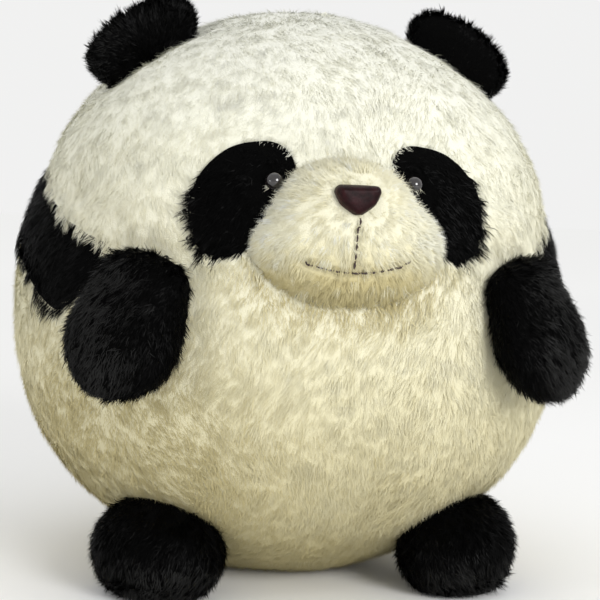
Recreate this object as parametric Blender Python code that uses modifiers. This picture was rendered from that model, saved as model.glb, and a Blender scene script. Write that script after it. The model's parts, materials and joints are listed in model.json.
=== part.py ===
"""Round plush panda: a fabric ball with a bulging muzzle, ears, arms, feet and a tail sewn to it.

Metres, +Z up. The panda faces -Y and its own left is +X. The origin is the middle of the flat
base panel that it rests on. Solids are the fabric's backing and the stuffing, without the pile.
"""

import math

import bmesh
import bpy
from mathutils import Matrix, Vector

NAME = "plush_panda"

# ---------------------------------------------------------------- driving dimensions
BODY_RADIUS = 0.182
BASE_RADIUS = 0.025
BELLY_SWELL = 0.0085
BELLY_LATITUDE = math.radians(-31)
BELLY_SPREAD = math.radians(25)
BASE_SWELL = 0.0068
BASE_SPREAD = math.radians(30)
NECK_CREASE_DEPTH = 0.005
NECK_CREASE_SPREAD = math.radians(7)

WALL = 0.002
SEAM_GAP = 0.0008
STUFFING_GAP = 0.0034
SEAT_GAP = 0.0013
FILL_GAP = 0.0010
FINE_GAP = 0.0004

EAR_WIDTH = 0.066
EAR_HEIGHT = 0.030
EAR_TOP_ROUNDING = 0.016
EAR_THICKNESS = 0.013
EAR_ROOT_WIDTH = 0.052
EAR_ROOT_RADIUS = 0.0035
EAR_AZIMUTH = math.radians(75)
EAR_LATITUDE = math.radians(56.2)

MUZZLE_WIDTH = 0.113
MUZZLE_BRIDGE_WIDTH = 0.078
MUZZLE_BOTTOM_RISE = 0.0040
MUZZLE_TOP_RISE = 0.0870
MUZZLE_PROUD = 0.0215
MUZZLE_DEPTH = 0.040
MUZZLE_BRIDGE_DEPTH = 0.0375
MUZZLE_CHEEK_SHARE = 0.41
MUZZLE_BRIDGE_SHARE = 0.33

NOSE_WIDTH = 0.0275
NOSE_CHEEK_WIDTH = 0.0235
NOSE_TIP_WIDTH = 0.0105
NOSE_HEIGHT = 0.0178
NOSE_DEPTH = 0.015
NOSE_CORNER_RADIUS = 0.0042
NOSE_RISE = 0.0665
NOSE_WALL = 0.0010
NOSE_FILL_GAP = 0.0006

THREAD_THICKNESS = 0.0014
SMILE_HALF_WIDTH = 0.029
SMILE_LOW_RISE = 0.0263
SMILE_CURL = 0.0055

EYE_DIAMETER = 0.010
EYE_DOME_HEIGHT = 0.0052
EYE_STEM_DIAMETER = 0.004
EYE_STEM_LENGTH = 0.016
EYE_AZIMUTH = math.radians(14.3)
EYE_LATITUDE = math.radians(24)
WASHER_DIAMETER = 0.016
WASHER_THICKNESS = 0.0016
WASHER_GAP = 0.0018
STEM_CLEARANCE = 0.0005
BORE_HALF_LENGTH = 0.015
POCKET_SPARE_DEPTH = 0.004

PATCH_LENGTH = 0.079
PATCH_WIDTH = 0.055
PATCH_THICKNESS = 0.002
PATCH_AZIMUTH = math.radians(21)
PATCH_LATITUDE = math.radians(21.3)
PATCH_TILT = math.radians(33)

ARM_LENGTH = 0.067
ARM_WIDTH = 0.066
ARM_THICKNESS = 0.034
ARM_TIP_ROUNDING = 0.033
ARM_ROOT_WIDTH = 0.050
ARM_ROOT_RADIUS = 0.012
ARM_AZIMUTH = math.radians(37)
ARM_LATITUDE = math.radians(4.8)
ARM_LEAN_OUT = math.radians(19)
ARM_LEAN_BACK = math.radians(11)

FOOT_WIDTH = 0.082
FOOT_DEPTH = 0.064
FOOT_HEIGHT = 0.055
FOOT_AZIMUTH = math.radians(45.5)
FOOT_STANDOFF = 0.0388
FOOT_FLOOR_GAP = 0.0008
SOLE_HEIGHT = 0.012
FOOT_SPREAD = 0.004

TAIL_LENGTH = 0.030
TAIL_WIDTH = 0.040
TAIL_THICKNESS = 0.030
TAIL_TIP_ROUNDING = 0.0165
TAIL_ROOT_WIDTH = 0.026
TAIL_ROOT_RADIUS = 0.008
TAIL_LATITUDE = math.radians(-24)

LABEL_WIDTH = 0.024
LABEL_LENGTH = 0.036
LABEL_THICKNESS = 0.0008
LABEL_AZIMUTH = math.radians(128)
LABEL_LATITUDE = math.radians(-50)

CLOSING_LATITUDE_LOW = math.radians(-8)
CLOSING_LATITUDE_HIGH = math.radians(14)
CLOSING_STITCHES = 9
CLOSING_HALF_WIDTH = 0.003

# Azimuth of each point on the neck seam, and its latitude there, in degrees from straight ahead.
NECK_SEAM = ((0, 11), (22.5, 12), (45, 9), (60, 13.5), (75, 20), (90, 27), (105, 32), (180, 35))
BAND_START = 45
BAND_FULL = 60
BAND_TIP_CUT = 1.5
BAND_HEIGHT = 16
EAR_SEAM_Y = -0.033
SIDE_SEAM_Y = -0.020
COLUMN_STEP = 7.5
HEAD_ROWS = 7
BAND_ROWS = 3
BELLY_ROWS = 8
SEAT_LOW = -0.02


# Name: base colour, roughness, metallic
FINISHES = {
    "white_plush": ((0.86, 0.84, 0.76), 0.95, 0.0),
    "black_plush": ((0.022, 0.021, 0.023), 0.9, 0.0),
    "nose_satin": ((0.075, 0.032, 0.030), 0.45, 0.0),
    "eye_plastic": ((0.012, 0.010, 0.010), 0.08, 0.0),
    "washer_plastic": ((0.72, 0.72, 0.70), 0.5, 0.0),
    "thread": ((0.10, 0.060, 0.052), 0.7, 0.0),
    "closing_thread": ((0.80, 0.78, 0.70), 0.7, 0.0),
    "fibre_stuffing": ((0.90, 0.90, 0.88), 1.0, 0.0),
    "label_tape": ((0.88, 0.88, 0.86), 0.6, 0.0),
}


# ---------------------------------------------------------------- scene helpers
def clear_scene():
    for thing in list(bpy.data.objects):
        bpy.data.objects.remove(thing, do_unlink=True)


def new_collection(name):
    collection = bpy.data.collections.new(name)
    bpy.context.scene.collection.children.link(collection)
    return collection


def make_material(name):
    colour, roughness, metallic = FINISHES[name]
    material = bpy.data.materials.new(name)
    material.use_nodes = True
    shader = material.node_tree.nodes["Principled BSDF"]
    shader.inputs["Base Color"].default_value = (*colour, 1)
    shader.inputs["Roughness"].default_value = roughness
    shader.inputs["Metallic"].default_value = metallic
    return material


def add_object(name, bm, finish, parent=None):
    """A part from a bmesh, in its parent's frame."""
    bmesh.ops.recalc_face_normals(bm, faces=bm.faces)
    mesh = bpy.data.meshes.new(name)
    bm.to_mesh(mesh)
    bm.free()
    mesh.shade_smooth()
    mesh.materials.append(make_material(finish))
    part = bpy.data.objects.new(name, mesh)
    part.parent = parent
    parts.objects.link(part)
    return part


def add_cutter(name, bm, parent=None):
    bmesh.ops.recalc_face_normals(bm, faces=bm.faces)
    mesh = bpy.data.meshes.new(name)
    bm.to_mesh(mesh)
    bm.free()
    cutter = bpy.data.objects.new(name, mesh)
    cutter.parent = parent
    cutter.hide_render = True
    cutter.display_type = "WIRE"
    cutters.objects.link(cutter)
    return cutter


def cut(part, cutter):
    boolean = part.modifiers.new("cut_" + cutter.name, "BOOLEAN")
    boolean.operation = "DIFFERENCE"
    boolean.solver = "EXACT"
    boolean.object = cutter


def add_pivot(name, frame):
    """An empty on a joint's axis, which carries the pieces that move with the joint."""
    pivot = bpy.data.objects.new(name, None)
    pivot.empty_display_size = 0.02
    pivot.matrix_world = frame
    parts.objects.link(pivot)
    return pivot


# ---------------------------------------------------------------- the ball
def between(knots, value):
    """The value read off straight lines between (place, value) knots."""
    for (x0, y0), (x1, y1) in zip(knots, knots[1:]):
        if value <= x1:
            return y0 + (y1 - y0) * (value - x0) / (x1 - x0)
    return knots[-1][1]


def neck_latitude(azimuth):
    return math.radians(between(NECK_SEAM, abs(math.degrees(azimuth))))


def band_low_latitude(azimuth):
    share = (abs(math.degrees(azimuth)) - BAND_START) / (BAND_FULL - BAND_START)
    return neck_latitude(azimuth) - math.radians(BAND_HEIGHT) * min(max(share, 0), 1)


def direction(azimuth, latitude):
    """Unit vector from the ball's centre: azimuth 0 is straight ahead and grows to the panda's left."""
    level = math.cos(latitude)
    return Vector((math.sin(azimuth) * level, -math.cos(azimuth) * level, math.sin(latitude)))


def body_radius(azimuth, latitude):
    swell = BELLY_SWELL * math.exp(-(((latitude - BELLY_LATITUDE) / BELLY_SPREAD) ** 2))
    swell += BASE_SWELL * math.exp(-(((latitude + math.pi / 2) / BASE_SPREAD) ** 2))
    from_neck = (latitude - neck_latitude(azimuth)) / NECK_CREASE_SPREAD
    return BODY_RADIUS + swell - NECK_CREASE_DEPTH * math.exp(-(from_neck**2))


def centre_above_base():
    """Height of the ball's centre at which its bottom is cut off as wide as the base panel."""
    angle = math.asin(BASE_RADIUS / BODY_RADIUS)
    return body_radius(0, angle - math.pi / 2) * math.cos(angle)


BODY_CENTRE = Vector((0, 0, centre_above_base()))


def body_point(azimuth, latitude, lift=0.0):
    return BODY_CENTRE + direction(azimuth, latitude) * (body_radius(azimuth, latitude) + lift)


def base_latitude(azimuth):
    """Where the ball meets the base panel's rim: found by halving."""
    low = -math.pi / 2
    high = -math.pi / 3
    for _ in range(40):
        middle = (low + high) / 2
        if body_point(azimuth, middle).z < 0:
            low = middle
        else:
            high = middle
    return high


def ball_reach(azimuth, height):
    """How far out the ball's lower half is at this height, found by halving."""
    low = base_latitude(azimuth)
    high = 0.0
    for _ in range(40):
        middle = (low + high) / 2
        if body_point(azimuth, middle).z < height:
            low = middle
        else:
            high = middle
    return body_point(azimuth, high).xy.length


def azimuth_columns(start, end):
    step = COLUMN_STEP
    inside = [step * i for i in range(math.ceil(start / step), math.floor(end / step) + 1)]
    columns = [start] + [a for a in inside if start < a < end] + [end]
    return [math.radians(a) for a in columns]


def zone_surface(columns, rows, low, high):
    """The ball's outer surface between two seams, as an open grid."""
    bm = bmesh.new()
    bmesh.ops.create_grid(bm, x_segments=len(columns) - 1, y_segments=rows, size=1)
    for vert in bm.verts:
        azimuth = columns[round((vert.co.x + 1) / 2 * (len(columns) - 1))]
        share = (vert.co.y + 1) / 2
        latitude = low(azimuth) + (high(azimuth) - low(azimuth)) * share
        vert.co = body_point(azimuth, latitude)
    bmesh.ops.remove_doubles(bm, verts=bm.verts, dist=1e-6)
    return bm


def keep_side(bm, point, towards):
    """Cuts an open surface at a plane and keeps the side that the vector points to."""
    bmesh.ops.bisect_plane(
        bm,
        geom=bm.verts[:] + bm.edges[:] + bm.faces[:],
        plane_co=point,
        plane_no=-Vector(towards),
        clear_outer=True,
        dist=1e-7,
    )


def face_outwards(bm, centre):
    for face in bm.faces:
        face.normal_update()
        if face.normal.dot(face.calc_center_median() - centre) < 0:
            face.normal_flip()


def skin_panel(name, finish, bm, planes):
    """One sewn fabric panel: the surface trimmed at its seams, thickened inwards by the wall."""
    for point, towards in planes:
        keep_side(bm, Vector(point), towards)
    face_outwards(bm, BODY_CENTRE)
    mesh = bpy.data.meshes.new(name)
    bm.to_mesh(mesh)
    bm.free()
    mesh.shade_smooth()
    mesh.materials.append(make_material(finish))
    panel = bpy.data.objects.new(name, mesh)
    parts.objects.link(panel)
    wall = panel.modifiers.new("wall", "SOLIDIFY")
    wall.thickness = WALL
    wall.offset = -1
    return panel


def ball_solid(lift, floor, segments=48, rings=24):
    """The whole ball as one closed form, its surface moved out by lift and cut flat at floor."""
    bm = bmesh.new()
    bmesh.ops.create_uvsphere(bm, u_segments=segments, v_segments=rings, radius=1)
    for vert in bm.verts:
        latitude = math.asin(max(-1, min(1, vert.co.z)))
        azimuth = math.atan2(vert.co.x, -vert.co.y)
        vert.co = body_point(azimuth, latitude, lift)
        vert.co.z = max(vert.co.z, floor)
    return bm


def make_body():
    half_gap = SEAM_GAP / 2
    angle_gap = half_gap / BODY_RADIUS

    def above_neck(azimuth):
        return neck_latitude(azimuth) + angle_gap

    def under_neck(azimuth):
        return neck_latitude(azimuth) - angle_gap

    def above_band_edge(azimuth):
        return band_low_latitude(azimuth) + angle_gap

    def under_band_edge(azimuth):
        return band_low_latitude(azimuth) - angle_gap

    def crown(azimuth):
        return math.pi / 2

    whole = azimuth_columns(-180, 180)
    ear_front = ((0, EAR_SEAM_Y - half_gap, 0), (0, -1, 0))
    ear_back = ((0, EAR_SEAM_Y + half_gap, 0), (0, 1, 0))
    side_front = ((0, SIDE_SEAM_Y - half_gap, 0), (0, -1, 0))
    side_back = ((0, SIDE_SEAM_Y + half_gap, 0), (0, 1, 0))
    left_of_centre = ((half_gap, 0, 0), (1, 0, 0))
    right_of_centre = ((-half_gap, 0, 0), (-1, 0, 0))

    head = zone_surface(whole, HEAD_ROWS, above_neck, crown)
    face = skin_panel("head_front_panel", "white_plush", head, [ear_front])
    for side, centre_seam in (("left", left_of_centre), ("right", right_of_centre)):
        head = zone_surface(whole, HEAD_ROWS, above_neck, crown)
        skin_panel("head_back_" + side, "white_plush", head, [ear_back, centre_seam])

    for side, sign in (("left", 1), ("right", -1)):
        columns = [sign * a for a in azimuth_columns(BAND_START + BAND_TIP_CUT, 180)]
        band = zone_surface(columns, BAND_ROWS, above_band_edge, under_neck)
        centre_seam = left_of_centre if sign > 0 else right_of_centre
        skin_panel("shoulder_band_" + side, "black_plush", band, [centre_seam])

    belly = zone_surface(whole, BELLY_ROWS, base_latitude, under_band_edge)
    skin_panel("belly_panel", "white_plush", belly, [side_front])
    for side, centre_seam in (("left", left_of_centre), ("right", right_of_centre)):
        back = zone_surface(whole, BELLY_ROWS, base_latitude, under_band_edge)
        skin_panel("lower_back_" + side, "white_plush", back, [side_back, centre_seam])

    rim = base_latitude(0)
    base_radius = body_point(0, rim).xy.length - WALL * math.cos(rim) - SEAM_GAP
    bm = bmesh.new()
    bmesh.ops.create_cone(
        bm, cap_ends=True, segments=32, radius1=base_radius, radius2=base_radius, depth=WALL
    )
    bmesh.ops.translate(bm, verts=bm.verts, vec=(0, 0, WALL / 2))
    add_object("base_panel", bm, "white_plush")

    inside = WALL + STUFFING_GAP
    fill = ball_solid(-inside, inside, segments=32, rings=16)
    body_fill = add_object("body_fill", fill, "fibre_stuffing")
    return face, body_fill


# ---------------------------------------------------------------- stuffed forms
def hull_point(normal, lobes):
    """The point with this outward normal on the skin stretched over a few ellipsoids."""
    best = None
    for centre, axes in lobes:
        scaled = Vector([n * a for n, a in zip(normal, axes)])
        reach = scaled.length
        point = Vector(centre) + Vector([s * a for s, a in zip(scaled, axes)]) / reach
        support = Vector(centre).dot(normal) + reach
        if best is None or support > best[0]:
            best = (support, point)
    return best[1]


def stuffed_form(lobes, inset=0.0, segments=16, rings=10, floor=None):
    """A closed form over the ellipsoids, drawn in along its normals by inset."""
    bm = bmesh.new()
    bmesh.ops.create_uvsphere(bm, u_segments=segments, v_segments=rings, radius=1)
    for vert in bm.verts:
        normal = vert.co.normalized()
        vert.co = hull_point(normal, lobes) - normal * inset
        if floor is not None:
            vert.co.z = max(vert.co.z, floor)
    bmesh.ops.remove_doubles(bm, verts=bm.verts, dist=1e-6)
    return bm


def half_of(bm, point, towards):
    """One side of a closed form, closed again with a flat face."""
    keep_side(bm, Vector(point), towards)
    rim = [edge for edge in bm.edges if edge.is_boundary]
    bmesh.ops.holes_fill(bm, edges=rim)
    return bm


def limb_frame(root, along, outward):
    """Local -Z runs from root to tip, local Y faces outwards, local X is the hinge's axis."""
    up = -Vector(along).normalized()
    out = Vector(outward)
    out = (out - out.dot(up) * up).normalized()
    across = out.cross(up)
    frame = Matrix((across, out, up)).transposed().to_4x4()
    frame.translation = root
    return frame


def limb_lobes(length, end_axes, root_width, root_radius):
    """A round root that turns about local X, and a wider, thicker end."""
    root = ((0, 0, 0), (root_width / 2, root_radius, root_radius))
    end = ((0, 0, end_axes[2] - length), end_axes)
    return [root, end]


def make_ear(side, sign):
    base = direction(sign * EAR_AZIMUTH, EAR_LATITUDE)
    root = body_point(sign * EAR_AZIMUTH, EAR_LATITUDE, EAR_ROOT_RADIUS + SEAT_GAP)
    pivot = add_pivot("ear_pivot_" + side, limb_frame(root, base, (0, -1, 0)))
    end = (EAR_WIDTH / 2, EAR_THICKNESS / 2, EAR_TOP_ROUNDING)
    lobes = limb_lobes(EAR_HEIGHT, end, EAR_ROOT_WIDTH, EAR_ROOT_RADIUS)
    for face, towards in (("front", 1), ("back", -1)):
        seam = (0, towards * FINE_GAP / 2, 0)
        panel = half_of(stuffed_form(lobes), seam, (0, towards, 0))
        add_object(f"ear_{face}_{side}", panel, "black_plush", pivot)


def make_arm(side, sign):
    azimuth = sign * ARM_AZIMUTH
    root = body_point(azimuth, ARM_LATITUDE, ARM_ROOT_RADIUS + SEAT_GAP)
    outward = direction(azimuth, 0)
    backward = Vector((sign * math.cos(ARM_AZIMUTH), math.sin(ARM_AZIMUTH), 0))
    along = Vector((0, 0, -1)) + outward * math.tan(ARM_LEAN_OUT)
    along += backward * math.tan(ARM_LEAN_BACK)
    pivot = add_pivot("arm_pivot_" + side, limb_frame(root, along, outward))
    end = (ARM_WIDTH / 2, ARM_THICKNESS / 2, ARM_TIP_ROUNDING)
    lobes = limb_lobes(ARM_LENGTH, end, ARM_ROOT_WIDTH, ARM_ROOT_RADIUS)
    hollow = add_cutter("arm_hollow_" + side, stuffed_form(lobes, WALL), pivot)
    for face, towards in (("outer", 1), ("inner", -1)):
        seam = (0, towards * SEAM_GAP / 2, 0)
        shell = half_of(stuffed_form(lobes), seam, (0, towards, 0))
        panel = add_object(f"arm_{face}_{side}", shell, "black_plush", pivot)
        cut(panel, hollow)
    fill = stuffed_form(lobes, WALL + FILL_GAP)
    add_object("arm_fill_" + side, fill, "fibre_stuffing", pivot)


def make_foot(side, sign, ball_seat):
    azimuth = sign * FOOT_AZIMUTH
    height = FOOT_FLOOR_GAP + FOOT_HEIGHT / 2
    place = direction(azimuth, 0) * (ball_reach(azimuth, height) + FOOT_STANDOFF)
    place.z = height
    towards_foot = (place - BODY_CENTRE).normalized()
    latitude = math.asin(towards_foot.z)
    root = body_point(azimuth, latitude, SEAT_GAP)
    frame = Matrix.Rotation(azimuth, 4, "Z")
    frame.translation = root
    pivot = add_pivot("foot_pivot_" + side, frame)
    centre = frame.inverted() @ place
    floor = FOOT_FLOOR_GAP - root.z
    lobes = [(centre, (FOOT_WIDTH / 2, FOOT_DEPTH / 2, FOOT_HEIGHT / 2 + FOOT_SPREAD))]
    hollow = add_cutter(
        "foot_hollow_" + side, stuffed_form(lobes, WALL, floor=floor + WALL), pivot
    )
    seam_height = floor + SOLE_HEIGHT
    for piece, towards in (("upper", 1), ("sole", -1)):
        seam = (0, 0, seam_height + towards * SEAM_GAP / 2)
        shell = half_of(stuffed_form(lobes, floor=floor), seam, (0, 0, towards))
        panel = add_object(f"foot_{piece}_{side}", shell, "black_plush", pivot)
        cut(panel, ball_seat)
        cut(panel, hollow)
    inside = WALL + FILL_GAP
    fill = add_object(
        "foot_fill_" + side, stuffed_form(lobes, inside, floor=floor + inside), "fibre_stuffing", pivot
    )
    cut(fill, ball_seat)


def make_tail():
    outward = direction(math.pi, TAIL_LATITUDE)
    root = body_point(math.pi, TAIL_LATITUDE, TAIL_ROOT_RADIUS + SEAT_GAP)
    pivot = add_pivot("tail_pivot", limb_frame(root, outward, (0, 0, 1)))
    end = (TAIL_WIDTH / 2, TAIL_THICKNESS / 2, TAIL_TIP_ROUNDING)
    lobes = limb_lobes(TAIL_LENGTH, end, TAIL_ROOT_WIDTH, TAIL_ROOT_RADIUS)
    hollow = add_cutter("tail_hollow", stuffed_form(lobes, WALL, 14, 8), pivot)
    for face, towards in (("top", 1), ("under", -1)):
        seam = (0, towards * SEAM_GAP / 2, 0)
        shell = half_of(stuffed_form(lobes, 0, 14, 8), seam, (0, towards, 0))
        panel = add_object("tail_" + face, shell, "black_plush", pivot)
        cut(panel, hollow)
    fill = stuffed_form(lobes, WALL + FILL_GAP, 14, 8)
    add_object("tail_fill", fill, "fibre_stuffing", pivot)


# ---------------------------------------------------------------- the face
def muzzle_lobes():
    """A wide lower lobe with the chin and cheeks, and a narrower one that runs up to the bridge."""
    height = MUZZLE_TOP_RISE - MUZZLE_BOTTOM_RISE
    low_half = height * MUZZLE_CHEEK_SHARE
    high_half = height * MUZZLE_BRIDGE_SHARE
    middle = -BODY_RADIUS - MUZZLE_PROUD + MUZZLE_DEPTH
    low_centre = (0, middle, BODY_CENTRE.z + MUZZLE_BOTTOM_RISE + low_half)
    high_centre = (0, middle, BODY_CENTRE.z + MUZZLE_TOP_RISE - high_half)
    return [
        (low_centre, (MUZZLE_WIDTH / 2, MUZZLE_DEPTH, low_half)),
        (high_centre, (MUZZLE_BRIDGE_WIDTH / 2, MUZZLE_BRIDGE_DEPTH, high_half)),
    ]


def muzzle_front(x, z, lift):
    """The point on the front of the muzzle at this x and z, found by halving along Y."""
    lobes = muzzle_lobes()
    far = lobes[0][0][1]
    near = far - 2 * MUZZLE_DEPTH
    for _ in range(40):
        y = (near + far) / 2
        if inside_lobes(Vector((x, y, z)), lobes):
            far = y
        else:
            near = y
    return Vector((x, far - lift, z))


def inside_lobes(point, lobes):
    """True inside the hull of two ellipsoids, whose sections blend in a straight line between them."""
    steps = 24
    (centre_a, axes_a), (centre_b, axes_b) = lobes
    for i in range(steps + 1):
        share = i / steps
        centre = Vector(centre_a).lerp(Vector(centre_b), share)
        axes = Vector(axes_a).lerp(Vector(axes_b), share)
        offset = point - centre
        if sum((o / a) ** 2 for o, a in zip(offset, axes)) <= 1:
            return True
    return False


def make_muzzle(ball_seat):
    lobes = muzzle_lobes()
    hollow = add_cutter("muzzle_hollow", stuffed_form(lobes, WALL, 20, 12))
    for side, sign in (("left", 1), ("right", -1)):
        seam = (sign * SEAM_GAP / 2, 0, 0)
        shell = half_of(stuffed_form(lobes, 0, 20, 12), seam, (sign, 0, 0))
        panel = add_object("muzzle_" + side, shell, "white_plush")
        cut(panel, ball_seat)
        cut(panel, hollow)
    fill = add_object("muzzle_fill", stuffed_form(lobes, WALL + FILL_GAP, 20, 12), "fibre_stuffing")
    cut(fill, ball_seat)


def make_nose():
    place = muzzle_front(0, BODY_CENTRE.z + NOSE_RISE, 0)
    corner = (NOSE_CORNER_RADIUS, NOSE_DEPTH / 2, NOSE_CORNER_RADIUS)
    rise = NOSE_HEIGHT / 2 - NOSE_CORNER_RADIUS
    lobes = []
    for width, level in ((NOSE_WIDTH, rise), (NOSE_CHEEK_WIDTH, 0), (NOSE_TIP_WIDTH, -rise)):
        spread = width / 2 - NOSE_CORNER_RADIUS
        for sign in (-1, 1):
            lobes.append((place + Vector((sign * spread, 0, level)), corner))
    seat = add_cutter("nose_seat", stuffed_form(muzzle_lobes(), -SEAT_GAP, 20, 12))
    hollow = add_cutter("nose_hollow", stuffed_form(lobes, NOSE_WALL, 14, 8))
    cover = add_object("nose_cover", stuffed_form(lobes, 0, 14, 8), "nose_satin")
    cut(cover, seat)
    cut(cover, hollow)
    padding = stuffed_form(lobes, NOSE_WALL + NOSE_FILL_GAP, 14, 8)
    fill = add_object("nose_fill", padding, "fibre_stuffing")
    cut(fill, seat)


def thread(name, points, finish):
    curve = bpy.data.curves.new(name, "CURVE")
    curve.dimensions = "3D"
    curve.bevel_depth = THREAD_THICKNESS / 2
    curve.bevel_resolution = 1
    curve.use_fill_caps = True
    spline = curve.splines.new("POLY")
    spline.points.add(len(points) - 1)
    for target, point in zip(spline.points, points):
        target.co = (*point, 1)
    curve.materials.append(make_material(finish))
    strand = bpy.data.objects.new(name, curve)
    parts.objects.link(strand)
    return strand


def make_mouth():
    lift = THREAD_THICKNESS / 2 + SEAT_GAP
    steps = 12
    smile = []
    for i in range(steps + 1):
        share = 2 * i / steps - 1
        height = BODY_CENTRE.z + SMILE_LOW_RISE + SMILE_CURL * share**2
        smile.append(muzzle_front(SMILE_HALF_WIDTH * share, height, lift))
    thread("smile_stitch", smile, "thread")
    top = BODY_CENTRE.z + NOSE_RISE - NOSE_HEIGHT / 2 - SEAT_GAP
    bottom = BODY_CENTRE.z + SMILE_LOW_RISE + THREAD_THICKNESS + FINE_GAP
    drops = 6
    line = [muzzle_front(0, top + (bottom - top) * i / drops, lift) for i in range(drops + 1)]
    thread("mouth_stitch", line, "thread")


def patch_surface(sign, lift):
    """The bean-shaped eye patch, as a round grid laid on the ball."""
    bm = bmesh.new()
    bmesh.ops.create_grid(bm, x_segments=6, y_segments=6, size=1)
    lean = math.sin(PATCH_TILT)
    upright = math.cos(PATCH_TILT)
    for vert in bm.verts:
        x, y = vert.co.x, vert.co.y
        across = x * math.sqrt(1 - y * y / 2) * PATCH_WIDTH / 2
        along = y * math.sqrt(1 - x * x / 2) * PATCH_LENGTH / 2
        level = across * upright - along * lean
        rise = across * lean + along * upright
        latitude = PATCH_LATITUDE + rise / BODY_RADIUS
        azimuth = PATCH_AZIMUTH + level / (BODY_RADIUS * math.cos(latitude))
        vert.co = body_point(sign * azimuth, latitude, lift)
    return bm


def make_eye(side, sign, face, body_fill, muzzle_seat):
    azimuth = sign * EYE_AZIMUTH
    out = direction(azimuth, EYE_LATITUDE)
    turn = out.to_track_quat("Z", "Y").to_matrix().to_4x4()
    turn.translation = body_point(azimuth, EYE_LATITUDE)
    patch_top = SEAT_GAP + PATCH_THICKNESS

    bm = patch_surface(sign, SEAT_GAP)
    face_outwards(bm, BODY_CENTRE)
    mesh = bpy.data.meshes.new("eye_patch_" + side)
    bm.to_mesh(mesh)
    bm.free()
    mesh.shade_smooth()
    mesh.materials.append(make_material("black_plush"))
    patch = bpy.data.objects.new("eye_patch_" + side, mesh)
    parts.objects.link(patch)
    pad = patch.modifiers.new("pad", "SOLIDIFY")
    pad.thickness = PATCH_THICKNESS
    pad.offset = 1
    cut(patch, muzzle_seat)

    bore = bmesh.new()
    radius = EYE_STEM_DIAMETER / 2 + STEM_CLEARANCE
    bmesh.ops.create_cone(
        bore,
        cap_ends=True,
        segments=12,
        radius1=radius,
        radius2=radius,
        depth=2 * BORE_HALF_LENGTH,
    )
    bore_cutter = add_cutter("eye_bore_" + side, bore)
    bore_cutter.matrix_world = turn
    cut(patch, bore_cutter)
    cut(face, bore_cutter)

    pocket = bmesh.new()
    depth = EYE_STEM_LENGTH + POCKET_SPARE_DEPTH
    radius = WASHER_DIAMETER / 2 + STEM_CLEARANCE
    bmesh.ops.create_cone(
        pocket, cap_ends=True, segments=16, radius1=radius, radius2=radius, depth=2 * depth
    )
    pocket_cutter = add_cutter("washer_pocket_" + side, pocket)
    pocket_cutter.matrix_world = turn
    cut(body_fill, pocket_cutter)

    seat = patch_top + SEAT_GAP
    profile = [(0, seat + EYE_DOME_HEIGHT)]
    for i in range(1, 6):
        angle = math.pi / 2 * i / 5
        profile.append(
            (EYE_DIAMETER / 2 * math.sin(angle), seat + EYE_DOME_HEIGHT * math.cos(angle))
        )
    profile.append((EYE_STEM_DIAMETER / 2, seat))
    profile.append((EYE_STEM_DIAMETER / 2, seat - EYE_STEM_LENGTH))
    profile.append((0, seat - EYE_STEM_LENGTH))
    turned("eye_" + side, profile, 16, "eye_plastic", turn)

    inner = EYE_STEM_DIAMETER / 2 + STEM_CLEARANCE
    top = -WALL - WASHER_GAP
    outer = WASHER_DIAMETER / 2
    washer = [(outer, top), (outer, top - WASHER_THICKNESS)]
    washer += [(inner, top - WASHER_THICKNESS), (inner, top), (outer, top)]
    turned("eye_washer_" + side, washer, 16, "washer_plastic", turn)


def turned(name, profile, steps, finish, frame):
    """A turned piece: its profile runs down the outer side and is swept about local Z."""
    mesh = bpy.data.meshes.new(name)
    edges = [(i, i + 1) for i in range(len(profile) - 1)]
    mesh.from_pydata([(x, 0, z) for x, z in profile], edges, [])
    mesh.materials.append(make_material(finish))
    piece = bpy.data.objects.new(name, mesh)
    parts.objects.link(piece)
    piece.matrix_world = frame
    screw = piece.modifiers.new("turn", "SCREW")
    screw.axis = "Z"
    screw.steps = steps
    screw.render_steps = steps
    screw.use_merge_vertices = True
    screw.merge_threshold = 0.00001
    weld = piece.modifiers.new("close", "WELD")
    weld.merge_threshold = 0.00001
    return piece


# ---------------------------------------------------------------- sewn-in trim
def make_label():
    """A blank woven tape, sewn in at the base of the back and lying against the ball."""
    out = direction(LABEL_AZIMUTH, LABEL_LATITUDE)
    frame = out.to_track_quat("Z", "Y").to_matrix().to_4x4()
    frame.translation = body_point(LABEL_AZIMUTH, LABEL_LATITUDE, SEAT_GAP + LABEL_THICKNESS)
    bm = bmesh.new()
    bmesh.ops.create_cube(bm, size=1)
    bmesh.ops.scale(bm, vec=(LABEL_WIDTH, LABEL_LENGTH, LABEL_THICKNESS), verts=bm.verts)
    label = add_object("care_label", bm, "label_tape")
    label.matrix_world = frame


def make_closing_thread():
    """The hand-sewn ladder stitch that closes the back seam after stuffing."""
    lift = THREAD_THICKNESS / 2 + SEAT_GAP
    points = []
    for i in range(CLOSING_STITCHES + 1):
        share = i / CLOSING_STITCHES
        latitude = CLOSING_LATITUDE_LOW + (CLOSING_LATITUDE_HIGH - CLOSING_LATITUDE_LOW) * share
        point = body_point(math.pi, latitude, lift)
        point.x = CLOSING_HALF_WIDTH * (1 if i % 2 else -1)
        points.append(point)
    thread("closing_thread", points, "closing_thread")


def main():
    ball_seat = add_cutter("ball_seat", ball_solid(SEAT_GAP, SEAT_LOW))
    muzzle_seat = add_cutter("muzzle_seat", stuffed_form(muzzle_lobes(), -SEAT_GAP, 20, 12))
    face, body_fill = make_body()
    make_muzzle(ball_seat)
    make_nose()
    make_mouth()
    for side, sign in (("left", 1), ("right", -1)):
        make_eye(side, sign, face, body_fill, muzzle_seat)
        make_ear(side, sign)
        make_arm(side, sign)
        make_foot(side, sign, ball_seat)
    make_tail()
    make_label()
    make_closing_thread()
    bpy.context.view_layer.update()


clear_scene()
parts = new_collection(NAME)
cutters = new_collection("cutters")
main()
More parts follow.
